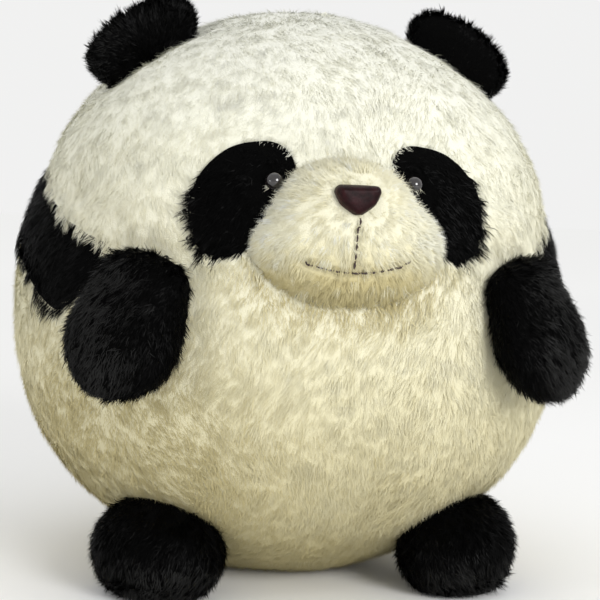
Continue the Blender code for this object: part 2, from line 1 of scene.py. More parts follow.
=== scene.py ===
"""Plush panda: padded skins, long-pile fur, satin nose, plastic eyes and stitching."""

import json
import math

import bmesh
import bpy
import numpy as np
from mathutils import Matrix, Vector
from mathutils.bvhtree import BVHTree
from mathutils.kdtree import KDTree


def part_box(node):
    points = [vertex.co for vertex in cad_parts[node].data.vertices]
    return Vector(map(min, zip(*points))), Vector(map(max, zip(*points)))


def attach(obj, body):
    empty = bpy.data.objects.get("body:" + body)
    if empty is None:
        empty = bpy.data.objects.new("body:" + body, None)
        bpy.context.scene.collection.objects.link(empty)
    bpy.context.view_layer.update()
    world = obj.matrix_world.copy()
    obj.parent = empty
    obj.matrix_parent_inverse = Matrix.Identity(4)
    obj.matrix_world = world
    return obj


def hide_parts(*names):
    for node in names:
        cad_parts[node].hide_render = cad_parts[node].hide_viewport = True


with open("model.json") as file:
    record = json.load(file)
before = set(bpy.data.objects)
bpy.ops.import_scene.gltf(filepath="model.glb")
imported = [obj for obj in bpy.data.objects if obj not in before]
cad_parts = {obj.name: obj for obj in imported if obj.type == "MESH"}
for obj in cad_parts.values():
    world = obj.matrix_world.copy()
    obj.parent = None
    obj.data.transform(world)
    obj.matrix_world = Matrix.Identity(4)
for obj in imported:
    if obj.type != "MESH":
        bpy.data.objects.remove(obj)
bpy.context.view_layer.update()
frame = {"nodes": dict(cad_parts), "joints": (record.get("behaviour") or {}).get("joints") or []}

NODES = frame["nodes"]
SIDES = (("left", 1), ("right", -1))
JOINTS = {joint["name"]: joint for joint in frame["joints"]}


# ---------------------------------------------------------------- camera, floor and light
AZIMUTH = math.radians(-11.04)
ELEVATION = math.radians(3.92)
ROLL = math.radians(1.63)
DISTANCE = 1.0547
AIM = Vector((0, 0, 0.183))
LENS = 90.04
SENSOR_WIDTH = 36
SHIFT = (0.0204, -0.0038)

WORLD = 0.88
KEY = 31
RIM = 3
TOP = 1.5
LIGHT_AIM = (0, 0, 0.2)
FLOOR_RADIUS = 14
FLOOR_DROP = 0.0002


def make_camera():
    """The photograph's view, which leans a little to one side."""
    across = Vector((math.cos(AZIMUTH), math.sin(AZIMUTH), 0))
    back = Vector(
        (
            math.sin(AZIMUTH) * math.cos(ELEVATION),
            -math.cos(AZIMUTH) * math.cos(ELEVATION),
            math.sin(ELEVATION),
        )
    )
    up = back.cross(across)
    right = across * math.cos(ROLL) + up * math.sin(ROLL)
    head = up * math.cos(ROLL) - across * math.sin(ROLL)
    data = bpy.data.cameras.new("camera")
    data.lens = LENS
    data.sensor_width = SENSOR_WIDTH
    data.shift_x, data.shift_y = SHIFT
    camera = bpy.data.objects.new("camera", data)
    turn = Matrix((right, head, back)).transposed().to_4x4()
    turn.translation = AIM + back * DISTANCE
    camera.matrix_world = turn
    bpy.context.scene.collection.objects.link(camera)
    bpy.context.scene.camera = camera


def area_light(name, place, size, energy):
    """A round softbox that faces the toy."""
    data = bpy.data.lights.new(name, "AREA")
    data.shape = "DISK"
    data.size = size
    data.energy = energy
    lamp = bpy.data.objects.new(name, data)
    lamp.location = place
    lamp.rotation_mode = "QUATERNION"
    lamp.rotation_quaternion = (Vector(LIGHT_AIM) - Vector(place)).to_track_quat("-Z", "Y")
    bpy.context.scene.collection.objects.link(lamp)


def make_studio():
    """A pale round floor that is whiter away from the toy, white surroundings and three softboxes."""
    bm = bmesh.new()
    bmesh.ops.create_circle(bm, cap_ends=True, segments=96, radius=FLOOR_RADIUS)
    mesh = bpy.data.meshes.new("studio_floor")
    bm.to_mesh(mesh)
    bm.free()
    floor = bpy.data.objects.new("studio_floor", mesh)
    floor.location.z = -FLOOR_DROP
    bpy.context.scene.collection.objects.link(floor)
    material, shader, nodes, links = principled(
        "studio_floor", (0.93, 0.93, 0.92), 0.9, Specular_IOR_Level=0.0
    )
    place = nodes.new("ShaderNodeTexCoord")
    reach = nodes.new("ShaderNodeVectorMath")
    reach.operation = "LENGTH"
    paler = ramp(nodes, [(0.05, (0.90, 0.90, 0.895)), (0.35, (0.985, 0.985, 0.98))])
    scale = nodes.new("ShaderNodeMath")
    scale.operation = "MULTIPLY"
    scale.inputs[1].default_value = 0.1
    links.new(place.outputs["Object"], reach.inputs[0])
    links.new(reach.outputs["Value"], scale.inputs[0])
    links.new(scale.outputs["Value"], paler.inputs["Fac"])
    links.new(paler.outputs["Color"], shader.inputs["Base Color"])
    mesh.materials.append(material)

    world = bpy.data.worlds.new("studio")
    bpy.context.scene.world = world
    world.use_nodes = True
    background = world.node_tree.nodes["Background"]
    background.inputs["Color"].default_value = (1, 1, 0.995, 1)
    background.inputs["Strength"].default_value = WORLD
    area_light("key", (0.80, -2.00, 0.90), 1.0, KEY)
    area_light("rim", (-1.55, -0.75, 0.30), 0.2, RIM)
    area_light("top", (0.0, 0.3, 2.2), 1.5, TOP)


# ---------------------------------------------------------------- materials
def principled(name, colour, roughness, **sockets):
    """A new material with its shader's own sockets set, and its nodes and links."""
    material = bpy.data.materials.new(name)
    material.use_nodes = True
    tree = material.node_tree
    shader = tree.nodes["Principled BSDF"]
    shader.inputs["Base Color"].default_value = (*colour, 1)
    shader.inputs["Roughness"].default_value = roughness
    for socket, value in sockets.items():
        shader.inputs[socket.replace("_", " ")].default_value = value
    return material, shader, tree.nodes, tree.links


def ramp(nodes, stops):
    """A colour ramp through some (place, colour) stops."""
    node = nodes.new("ShaderNodeValToRGB")
    elements = node.color_ramp.elements
    while len(elements) < len(stops):
        elements.new(0.5)
    for element, (place, colour) in zip(elements, stops):
        element.position = place
        element.color = (*colour, 1)
    return node


def pile_material(name, along, across, roughness, **sockets):
    """Fur: one ramp runs from root to tip, the other tints each strand by its tone."""
    material, shader, nodes, links = principled(name, (0.8, 0.8, 0.8), roughness, **sockets)
    uv = nodes.new("ShaderNodeUVMap")
    uv.uv_map = "OFBake"
    split = nodes.new("ShaderNodeSeparateXYZ")
    links.new(uv.outputs["UV"], split.inputs["Vector"])
    length_ramp = ramp(nodes, along)
    tone_ramp = ramp(nodes, across)
    links.new(split.outputs["X"], length_ramp.inputs["Fac"])
    links.new(split.outputs["Y"], tone_ramp.inputs["Fac"])
    mix = nodes.new("ShaderNodeMix")
    mix.data_type = "RGBA"
    mix.blend_type = "MULTIPLY"
    mix.inputs["Factor"].default_value = 1
    links.new(length_ramp.outputs["Color"], mix.inputs["A"])
    links.new(tone_ramp.outputs["Color"], mix.inputs["B"])
    links.new(mix.outputs["Result"], shader.inputs["Base Color"])
    return material


def noise_bump(nodes, links, shader, scale, distance):
    """A fine uneven surface from object-space noise, which the colour may share."""
    place = nodes.new("ShaderNodeTexCoord")
    noise = nodes.new("ShaderNodeTexNoise")
    noise.inputs["Scale"].default_value = scale
    noise.inputs["Detail"].default_value = 3.0
    bump = nodes.new("ShaderNodeBump")
    bump.inputs["Strength"].default_value = 1.0
    bump.inputs["Distance"].default_value = distance
    links.new(place.outputs["Object"], noise.inputs["Vector"])
    links.new(noise.outputs["Fac"], bump.inputs["Height"])
    links.new(bump.outputs["Normal"], shader.inputs["Normal"])
    return noise


def fabric_material(name, dark, light, roughness, scale, distance, **sockets):
    """Cloth, fibre or plastic with mottled colour and a fine uneven surface."""
    material, shader, nodes, links = principled(name, light, roughness, **sockets)
    noise = noise_bump(nodes, links, shader, scale, distance)
    tint = ramp(nodes, [(0.3, dark), (0.7, light)])
    links.new(noise.outputs["Fac"], tint.inputs["Fac"])
    links.new(tint.outputs["Color"], shader.inputs["Base Color"])
    return material


def grey(value):
    return (value, value, value)


# The tone ramp: its dark olive low end is painted shade, and towards white it is the pile's own
# cream-to-white tone.
SHADED_CREAM_TO_WHITE = [
    (0.0, (0.48, 0.41, 0.20)),
    (0.35, (0.65, 0.61, 0.42)),
    (0.7, (0.72, 0.715, 0.61)),
    (1.0, (0.74, 0.75, 0.73)),
]
WHITE_FUR = pile_material(
    "white_fur",
    [(0.0, (0.93, 0.92, 0.86)), (0.4, (0.97, 0.965, 0.94)), (1.0, grey(1.0))],
    SHADED_CREAM_TO_WHITE,
    0.85,
    Specular_IOR_Level=0.15,
)
# Black pile: lighter towards the tips, a painted sheen where the tips catch the light.
BLACK_FUR = pile_material(
    "black_fur",
    [(0.0, grey(0.004)), (0.5, (0.012, 0.012, 0.0115)), (1.0, (0.026, 0.026, 0.0255))],
    [(0.0, grey(0.01)), (0.5, grey(0.035)), (0.7, grey(0.16)), (0.94, grey(1.0))],
    0.34,
    Specular_IOR_Level=0.04,
)


def underfur_material(name, low, high, tone_low, tone_high):
    """Dense white underfur: darker and creamier towards the bottom of its height range as painted shade,
    white near the top, faintly mottled.
    """
    material, shader, nodes, links = principled(name, (0.8, 0.8, 0.7), 0.95, Specular_IOR_Level=0.1)
    noise_bump(nodes, links, shader, 1100, 0.0005)
    place = nodes.new("ShaderNodeTexCoord")
    split = nodes.new("ShaderNodeSeparateXYZ")
    rise = nodes.new("ShaderNodeMapRange")
    rise.inputs["From Min"].default_value = low
    rise.inputs["From Max"].default_value = high
    rise.inputs["To Min"].default_value = tone_low
    rise.inputs["To Max"].default_value = tone_high
    mottle = nodes.new("ShaderNodeTexNoise")
    mottle.inputs["Scale"].default_value = 60
    mottle.inputs["Detail"].default_value = 4
    add = nodes.new("ShaderNodeMath")
    add.operation = "MULTIPLY_ADD"
    add.inputs[1].default_value = 0.06
    centred = nodes.new("ShaderNodeMath")
    centred.operation = "SUBTRACT"
    centred.inputs[1].default_value = 0.5
    tint = ramp(nodes, SHADED_CREAM_TO_WHITE)
    links.new(place.outputs["Object"], split.inputs["Vector"])
    links.new(split.outputs["Z"], rise.inputs["Value"])
    links.new(place.outputs["Object"], mottle.inputs["Vector"])
    links.new(mottle.outputs["Fac"], centred.inputs[0])
    links.new(centred.outputs["Value"], add.inputs[0])
    links.new(rise.outputs["Result"], add.inputs[2])
    links.new(add.outputs["Value"], tint.inputs["Fac"])
    links.new(tint.outputs["Color"], shader.inputs["Base Color"])
    return material


TOY_HEIGHT = 0.376
# Both underfurs darken towards the bottom of their height range, a painted shade.
WHITE_SKIN = underfur_material("white_underfur", 0.0, TOY_HEIGHT, 0.06, 0.86)
MUZZLE_SKIN = underfur_material("muzzle_underfur", 0.205, 0.235, 0.06, 0.50)
BLACK_SKIN = fabric_material(
    "black_backing", grey(0.0006), grey(0.0016), 0.95, 900, 0.0006, Specular_IOR_Level=0.03
)
STUFFING = fabric_material("fibre_stuffing", (0.78, 0.78, 0.76), (0.92, 0.92, 0.90), 1.0, 260, 0.001)


# ---------------------------------------------------------------- smooth noise
LATTICE = 32


def make_lattice(seed):
    return np.random.default_rng(seed).uniform(-1, 1, (LATTICE,) * 3).astype(np.float32)


LATTICES = [make_lattice(seed) for seed in range(7, 13)]


def smooth_noise(points, wavelength, which):
    """A smooth value from -1 to 1 at each point, with bumps about a wavelength across."""
    lattice = LATTICES[which]
    scaled = points / wavelength + 100.0
    cell = np.floor(scaled).astype(int)
    part = scaled - cell
    part = part * part * (3 - 2 * part)
    total = np.zeros(len(points))
    for dx in (0, 1):
        for dy in (0, 1):
            for dz in (0, 1):
                weight = np.ones(len(points))
                for axis, d in enumerate((dx, dy, dz)):
                    weight *= part[:, axis] if d else 1 - part[:, axis]
                index = (cell + (dx, dy, dz)) % LATTICE
                total += weight * lattice[index[:, 0], index[:, 1], index[:, 2]]
    return total


def unit(vectors):
    """Each vector at length 1."""
    return vectors / np.maximum(np.linalg.norm(vectors, axis=-1, keepdims=True), 1e-9)


def dot(a, b):
    """The dot product of each pair of vectors, as a column."""
    return np.sum(a * b, axis=-1, keepdims=True)


# ---------------------------------------------------------------- padded skins
BALL_CENTRE = Vector((0, 0, 0.1867))
UNDERFUR = 0.0050
LUMPY = 0.13
LOWEST_SKIN = 0.0006
ROOT_DEPTH = 0.0012
SLIT_SIDES = 20
OUTWARD = 0.25


def add_piece(name, mesh, body, slot, *nodes):
    """A finished mesh as a piece that rides on a body and may stand for some CAD nodes."""
    piece = bpy.data.objects.new(name, mesh)
    bpy.context.scene.collection.objects.link(piece)
    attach(piece, body)
    if nodes:
        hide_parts(*nodes)


def underfur(places):
    """The plain depth of underfur at each place."""
    return np.full(len(places), UNDERFUR)


def mesh_arrays(mesh):
    """A mesh's vertex places and smooth normals."""
    found = []
    for field in ("co", "normal"):
        flat = np.zeros(len(mesh.vertices) * 3)
        mesh.vertices.foreach_get(field, flat)
        found.append(flat.reshape(-1, 3))
    return found


def padded_skin(name, body, nodes, centre, weld, levels, swell=None):
    """The outer faces of some CAD panels, welded at their seams, rounded, then swelled by a depth."""
    bm = bmesh.new()
    tints = []
    for node, material in nodes:
        before = len(bm.faces)
        bm.from_mesh(NODES[node].data)
        bm.faces.ensure_lookup_table()
        if material not in tints:
            tints.append(material)
        for face in bm.faces[before:]:
            face.material_index = tints.index(material)
    bm.normal_update()
    drop = []
    for face in bm.faces:
        outward = face.calc_center_median() - centre
        if face.normal.dot(outward.normalized()) < OUTWARD:
            drop.append(face)
    bmesh.ops.delete(bm, geom=drop, context="FACES")
    bmesh.ops.remove_doubles(bm, verts=bm.verts, dist=weld)
    slits = [edge for edge in bm.edges if edge.is_boundary]
    for face in bmesh.ops.holes_fill(bm, edges=slits, sides=SLIT_SIDES)["faces"]:
        around = [other.material_index for edge in face.edges for other in edge.link_faces]
        face.material_index = max(around)
    bmesh.ops.recalc_face_normals(bm, faces=bm.faces)
    mesh = bpy.data.meshes.new(name)
    for material in tints:
        mesh.materials.append(material)
    bm.to_mesh(mesh)
    bm.free()
    skin = bpy.data.objects.new(name, mesh)
    bpy.context.scene.collection.objects.link(skin)
    rounder = skin.modifiers.new("rounder", "SUBSURF")
    rounder.levels = levels
    rounder.render_levels = levels
    depsgraph = bpy.context.evaluated_depsgraph_get()
    baked = bpy.data.meshes.new_from_object(skin.evaluated_get(depsgraph))
    skin.modifiers.clear()
    skin.data = baked
    if swell:
        places, normals = mesh_arrays(skin.data)
        lumps = 0.55 * smooth_noise(places, 0.034, 5) + 0.45 * smooth_noise(places, 0.015, 2)
        places += normals * (swell(places) * (1 + LUMPY * lumps))[:, None]
        places[:, 2] = np.maximum(places[:, 2], LOWEST_SKIN)
        skin.data.vertices.foreach_set("co", places.astype(np.float32).ravel())
        skin.data.update()
    skin.data.shade_smooth()
    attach(skin, body)
    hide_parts(*[node for node, material in nodes])
    return skin


def sample(skin, spacing, rng):
    """Points spread over a skin, about a spacing apart: places, smooth normals, material indices."""
    mesh = skin.data
    mesh.calc_loop_triangles()
    co, normals = mesh_arrays(mesh)
    corner = np.zeros(len(mesh.loop_triangles) * 3, int)
    mesh.loop_triangles.foreach_get("vertices", corner)
    corner = corner.reshape(-1, 3)
    tint = np.zeros(len(mesh.loop_triangles), int)
    mesh.loop_triangles.foreach_get("material_index", tint)
    a, b, c = (co[corner[:, i]] for i in range(3))
    area = np.linalg.norm(np.cross(b - a, c - a), axis=1) / 2
    count = int(area.sum() / spacing**2)
    spots = (np.arange(count) + rng.random(count)) / count * area.sum()
    order = np.searchsorted(np.cumsum(area), spots)
    order = np.minimum(order, len(area) - 1)
    s, t = rng.random(count), rng.random(count)
    flip = s + t > 1
    s[flip], t[flip] = 1 - s[flip], 1 - t[flip]
    weights = (1 - s - t, s, t)
    points = sum(w[:, None] * co[corner[order, i]] for i, w in enumerate(weights))
    smooth = unit(sum(w[:, None] * normals[corner[order, i]] for i, w in enumerate(weights)))
    return points - smooth * ROOT_DEPTH, smooth, tint[order]


# ---------------------------------------------------------------- fur
STRANDS_PER_PIECE = 60000
LOWEST_STRAND = 0.0004
ROW_SHARE = 0.48
HALF_TINT = 0.003
BLADE_CORNERS = np.array([0, 1, 3, 0, 3, 2, 2, 3, 4])
ROW_OF_CORNER = np.array([0, 0, 1, 1, 2])
TINT_OF_CORNER = np.array([-HALF_TINT, HALF_TINT, -HALF_TINT, HALF_TINT, 0.0])


def tangent(direction, normals):
    """A direction laid on the surface."""
    return unit(direction - dot(direction, normals) * normals)


def turned(direction, normals, angle):
    """A tangent direction turned about the normal."""
    side = np.cross(normals, direction)
    return direction * np.cos(angle)[:, None] + side * np.sin(angle)[:, None]


def grow(name, body, slot, material, roots, normals, flow, length, lift, tone, rng, look, gather=None):
    """Fur in locks: each root point carries a lock of blades that draw together towards its tip."""
    per = look["per"]
    count = len(roots) * per
    if gather is None:
        gather = np.full(len(roots), look["gather"])
    roots, normals, flow = (np.repeat(v, per, axis=0) for v in (roots, normals, flow))
    length, lift, tone, gather = (np.repeat(v, per) for v in (length, lift, tone, gather))
    side = np.cross(normals, flow)
    spread = look["lock"] * np.sqrt(rng.random(count))
    around = rng.random(count) * 2 * math.pi
    forth, aside = spread * np.cos(around), spread * np.sin(around)
    offset = flow * forth[:, None] + side * aside[:, None]
    sink = spread**2 / (2 * look["curve"]) + 0.0006
    start = roots + offset - normals * sink[:, None]

    stray = rng.random(count) < look["stray"]
    lean = turned(flow, normals, rng.normal(0, np.where(stray, 0.5, look["comb"])))
    reach = length * rng.uniform(0.72, 1.08, count)
    low = lift + rng.normal(0, look["ruffle"], count) + np.where(stray, 0.35, 0)
    high = np.maximum(look["rise"] + rng.normal(0, 0.12, count), low)
    gather = np.where(stray, 0.15, gather) * rng.uniform(0.7, 1.1, count)

    def walked(angle, share):
        heading = lean * np.cos(angle)[:, None] + normals * np.sin(angle)[:, None]
        return heading * (reach * share)[:, None]

    middle = start + walked(high, 0.25) + walked(high * 0.45 + low * 0.55, 0.25)
    tip = middle + walked(low, 0.5)
    middle = middle - offset * (gather * 0.45)[:, None]
    tip = tip - offset * gather[:, None] + rng.normal(0, 0.0003, (count, 3))
    rows = [start, middle, tip]
    for here in rows:
        proud = dot(here - start, normals)[:, 0]
        here -= normals * np.maximum(proud - look["ceiling"], 0)[:, None]
        here[:, 2] = np.maximum(here[:, 2], LOWEST_STRAND)

    heading = unit(tip - start)
    wide = unit(np.cross(normals, heading))
    third = np.cross(heading, wide)
    roll = rng.uniform(-look["roll"], look["roll"], count)
    blade = wide * np.cos(roll)[:, None] + third * np.sin(roll)[:, None]
    facing = np.cross(blade, heading)
    turn_over = dot(facing, normals) < 0
    blade = np.where(turn_over, -blade, blade)
    facing = np.where(turn_over, -facing, facing)
    half = look["width"] / 2 * rng.uniform(0.7, 1.25, count)
    vertices = np.zeros((count, 5, 3))
    for k, share in enumerate((1.0, 0.85)):
        vertices[:, 2 * k] = rows[k] - blade * (half * share)[:, None]
        vertices[:, 2 * k + 1] = rows[k] + blade * (half * share)[:, None]
    vertices[:, 4] = tip
    lumps = np.stack([smooth_noise(roots, look["lump"], k) for k in (3, 4, 5)], axis=-1)
    base = normals + look["billow"] * lumps + look["round"] * offset / look["lock"]
    base = unit(base * look["soft"] + facing * (1 - look["soft"]))
    shading = np.repeat(base[:, None, :], 5, axis=1)
    shading[:, 4] = unit(base + look["droop"] * flow)
    tone = np.clip(tone + rng.normal(0, look["mottle"], count), 0.06, 0.94)
    u_of_corner = 0.02 + ROW_SHARE * ROW_OF_CORNER
    pieces = max(1, math.ceil(count / STRANDS_PER_PIECE))
    for index in range(pieces):
        pick = slice(index * count // pieces, (index + 1) * count // pieces)
        n = pick.stop - pick.start
        label = name if pieces == 1 else f"{name}_{index + 1}"
        mesh = bpy.data.meshes.new(label)
        mesh.vertices.add(n * 5)
        mesh.vertices.foreach_set("co", vertices[pick].astype(np.float32).ravel())
        mesh.loops.add(n * 9)
        mesh.polygons.add(n * 3)
        loops = (np.arange(n)[:, None] * 5 + BLADE_CORNERS).ravel()
        mesh.loops.foreach_set("vertex_index", loops.astype(np.int32))
        mesh.polygons.foreach_set("loop_start", np.arange(0, n * 9, 3, dtype=np.int32))
        uv = mesh.uv_layers.new(name="OFBake")
        across = np.clip(tone[pick, None] + TINT_OF_CORNER[BLADE_CORNERS], 0.002, 0.998)
        along = np.broadcast_to(u_of_corner[BLADE_CORNERS], (n, 9))
        uv.uv.foreach_set("vector", np.stack([along, across], axis=-1).astype(np.float32).ravel())
        mesh.update()
        mesh.polygons.foreach_set("use_smooth", np.ones(n * 3, bool))
        mesh.normals_split_custom_set_from_vertices(shading[pick].reshape(-1, 3).astype(np.float32))
        mesh.materials.append(material)
        add_piece(label, mesh, body, slot)


# Lengths are in metres and angles in radians; the rest are shares, but for the count of strands.
WHITE_LOOK = {
    "per": 15,  # strands in a lock
    "lock": 0.0040,  # radius of a lock at its root
    "curve": 0.18,  # radius of the surface under a lock
    "stray": 0.08,  # share of strands that leave their lock
    "comb": 0.16,  # spread of the strands' headings
    "ruffle": 0.07,  # spread of the strands' lifts
    "rise": 0.38,  # lift at the root
    "gather": 0.40,  # how far the tips of a lock close up
    "width": 0.00042,  # width of a strand
    "roll": 0.32,  # most that a strand turns about its length
    "soft": 0.86,  # how far the shading follows the surface
    "lump": 0.020,  # size of the soft lumps in the shading
    "billow": 0.22,  # depth of those lumps
    "round": 0.12,  # roundness of a lock in the shading
    "droop": 0.25,  # lean of the tips in the shading
    "mottle": 0.03,  # spread of tone between strands
    "ceiling": 0.0052,  # highest that a strand stands over its root
}
BLACK_LOOK = {**WHITE_LOOK, "soft": 0.55, "gather": 0.55, "mottle": 0.18, "roll": 0.8, "round": 0.3}
LIMB_LOOK = {
    **BLACK_LOOK, "curve": 0.03, "lock": 0.0030, "width": 0.0006, "per": 13, "ceiling": 0.0066, "stray": 0.10,
}
EAR_LOOK = {**BLACK_LOOK, "curve": 0.04, "lock": 0.0026, "width": 0.0006, "per": 12, "stray": 0.14}
MUZZLE_LOOK = {**WHITE_LOOK, "curve": 0.04, "lock": 0.0026, "width": 0.00040, "per": 14, "ceiling": 0.0062}


# ---------------------------------------------------------------- the ball
HEAD_PANELS = ("head_front_panel", "head_back_left", "head_back_right")
WHITE_PANELS = (*HEAD_PANELS, "belly_panel", "lower_back_left", "lower_back_right")
BLACK_PANELS = ("shoulder_band_left", "shoulder_band_right")
MUZZLE_PANELS = ("muzzle_left", "muzzle_right")
PATCH_PANELS = ("eye_patch_left", "eye_patch_right")
EAR_PANELS = ("ear_front_left", "ear_front_right", "ear_back_left", "ear_back_right")
FOOT_PANELS = ("foot_upper_left", "foot_upper_right", "foot_sole_left", "foot_sole_right")
UNDER_TRIM = 0.02
BALL_SPACING = 0.0041
BALL_PILE = 0.0110
NECK_CREASE_WIDTH = 0.007
CROWN_DEPTH = 1.3
# Painted shade on the ball's pile: under the muzzle, and a painted shadow of the arm low on the belly's -x
# front. Both lower the tone by the same depth.
CHIN_SHADE_REACH = 0.030
ARM_SHADOW_PLACE = (-0.125, -0.105, 0.105)
ARM_SHADOW_RADIUS = 0.085
PAINTED_SHADE = 0.42


def tree_of(*names):
    """The CAD panels' faces, ready for ray casts."""
    bm = bmesh.new()
    for name in names:
        bm.from_mesh(NODES[name].data)
    tree = BVHTree.FromBMesh(bm)
    bm.free()
    return tree


def hidden_under(points, normals, tree, reach):
    """True for each point with something of the tree straight above it."""
    found = np.zeros(len(points), bool)
    for i, (point, normal) in enumerate(zip(points, normals)):
        hit = tree.ray_cast(Vector(point), Vector(normal), reach)
        found[i] = hit[0] is not None
    return found


def corners_of(*names):
    """The places of all the vertices of some CAD nodes."""
    return np.concatenate([np.array([v.co for v in NODES[name].data.vertices]) for name in names])


def nearest(points, targets):
    """The distance and the way from each point to its nearest target."""
    tree = KDTree(len(targets))
    for i, target in enumerate(targets):
        tree.insert(target, i)
    tree.balance()
    way = np.array([tree.find(point)[0] for point in points]) - points
    return np.linalg.norm(way, axis=1), way


def body_flow(points, normals, rng):
    """The lie of the ball's pile: down from the crown, with swirls."""
    down = tangent(np.broadcast_to((0.0, 0.0, -1.0), points.shape) + 1e-4, normals)
    swirl = 0.95 * smooth_noise(points, 0.050, 0) + 0.60 * smooth_noise(points, 0.018, 1)
    swirl += rng.normal(0, 0.12, len(points))
    return turned(down, normals, swirl)


def make_ball():
    """The head and body: one padded skin, with white pile and the black band's pile."""
    rng = np.random.default_rng(3)
    nodes = [(n, WHITE_SKIN) for n in WHITE_PANELS] + [(n, BLACK_SKIN) for n in BLACK_PANELS]
    above = tree_of(*MUZZLE_PANELS, *PATCH_PANELS)
    feet = tree_of(*FOOT_PANELS)

    # The neck seam runs where the head panels meet the belly and the band.
    brow = corners_of(*HEAD_PANELS)
    neck = brow[nearest(brow, corners_of("belly_panel", *BLACK_PANELS))[0] < 0.0015]
    patches = corners_of(*PATCH_PANELS)
    ears = corners_of(*EAR_PANELS)

    def under(places):
        """Creased at the neck, deeper on the crown, and none under the muzzle and the patches."""
        out = unit(places - np.array(BALL_CENTRE))
        depth = 1 - 0.5 * np.exp(-((nearest(places, neck)[0] / NECK_CREASE_WIDTH) ** 2))
        clear = np.clip((nearest(places, patches)[0] - 0.004) / 0.030, 0, 1)
        clear *= np.clip((nearest(places, ears)[0] - 0.002) / 0.026, 0, 1)
        depth += CROWN_DEPTH * np.clip((out[:, 2] - 0.10) / 0.6, 0, 1) * clear
        return UNDERFUR * depth * np.where(hidden_under(places, out, above, UNDER_TRIM), 0.0, 1.0)

    skin = padded_skin("ball_skin", "torso", nodes, BALL_CENTRE, 0.0014, 3, under)
    points, normals, tint = sample(skin, BALL_SPACING, rng)
    # Painted shade under the muzzle: the pile darkens where the muzzle is near and above it.
    chin_gap, to_chin = nearest(points, corners_of(*MUZZLE_PANELS))
    beneath = np.clip(2 * unit(to_chin)[:, 2], 0, 1)
    shaded = np.clip(1 - chin_gap / CHIN_SHADE_REACH, 0, 1) * beneath
    shut = hidden_under(points, normals, above, UNDER_TRIM) | hidden_under(points, normals, feet, 0.004)
    keep = ~shut & (points[:, 2] > 0.003)
    points, normals, tint, shaded = points[keep], normals[keep], tint[keep], shaded[keep]
    flow = body_flow(points, normals, rng)
    height = points[:, 2] / TOY_HEIGHT
    crown = np.clip(height, 0, 1) ** 3
    fluff = smooth_noise(points, 0.030, 2)
    length = BALL_PILE * (1 + 0.12 * fluff + 0.10 * rng.normal(0, 1, len(points)))
    lift = 0.21 - 0.12 * crown + 0.07 * (1 - 0.7 * crown) * smooth_noise(points, 0.024, 3)
    lift += 0.04 * rng.normal(0, 1, len(points))
    gather = np.clip(0.36 + 0.24 * smooth_noise(points, 0.030, 1), 0.1, 0.85)
    # The tone rises with height: darker and creamier towards the bottom, a painted shade. The noise is the
    # pile's own uneven tone.
    tone = 0.08 + 0.78 * height + 0.05 * smooth_noise(points * (0.5, 0.5, 1), 0.018, 4)
    # A painted shadow of the arm, low on the belly's -x front, and the painted shade under the muzzle darken
    # the tone.
    from_arm_shadow = np.linalg.norm(points - np.array(ARM_SHADOW_PLACE), axis=1)
    arm_shadow = np.exp(-((from_arm_shadow / ARM_SHADOW_RADIUS) ** 2))
    tone += rng.normal(0, 0.035, len(points)) - PAINTED_SHADE * shaded - PAINTED_SHADE * arm_shadow
    white = tint == 0
    black = ~white
    # White tufts lean over the band, the patches and the ears. Each row has the places that
    # they lean towards, from how near, the steepest way up, and their new length and lift.
    for targets, reach, lowest, longer, raised in (
        (points[black], 0.008, -0.2, 1.25, 0.50),
        (patches, 0.007, -0.1, 0.80, 0.42),
        (ears, 0.007, 1.1, 1.15, 0.50),
    ):
        gap, toward = nearest(points, targets)
        toward = tangent(toward, normals)
        edge = white & (gap < reach) & (toward[:, 2] < lowest)
        flow[edge] = unit(0.35 * flow[edge] + toward[edge])
        length[edge] *= longer
        lift[edge] = raised
        gather[edge] = 0.85
    # Black tufts hang over the white pile below the band.
    light_gap, to_light = nearest(points, points[white])
    fringe = black & (light_gap < 0.008)
    hangs = fringe & (to_light[:, 2] < 0)
    length[fringe] *= 1.15
    length[hangs] *= 1.35
    lift[hangs] = 0.45
    gather[fringe] = 0.85
    for name, slot, material, part, look in (
        ("white_fur", "white_plush", WHITE_FUR, white, WHITE_LOOK),
        ("band_fur", "black_plush", BLACK_FUR, black, BLACK_LOOK),
    ):
        fur = (values[part] for values in (points, normals, flow, length, lift, tone))
        grow(name, "torso", slot, material, *fur, rng, look, gather[part])


# ---------------------------------------------------------------- limbs, ears, tail and muzzle
LIMB_SPACING = 0.0036
LIMB_PILE = 0.0100
LIMB_LIFT = 0.32
EAR_PILE = 0.0092
SHORT_EAR_PILE = 0.0050
TAIL_PILE = 0.0095


def middle_of(*names):
    """The middle, lowest and highest corners of some CAD nodes together."""
    boxes = [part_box(name) for name in names]
    low = np.min([np.array(b[0]) for b in boxes], axis=0)
    high = np.max([np.array(b[1]) for b in boxes], axis=0)
    return Vector((low + high) / 2), Vector(low), Vector(high)


def away_from(place, points, normals):
    """The way along the surface that leads away from a place."""
    return tangent(points - np.array(place), normals)


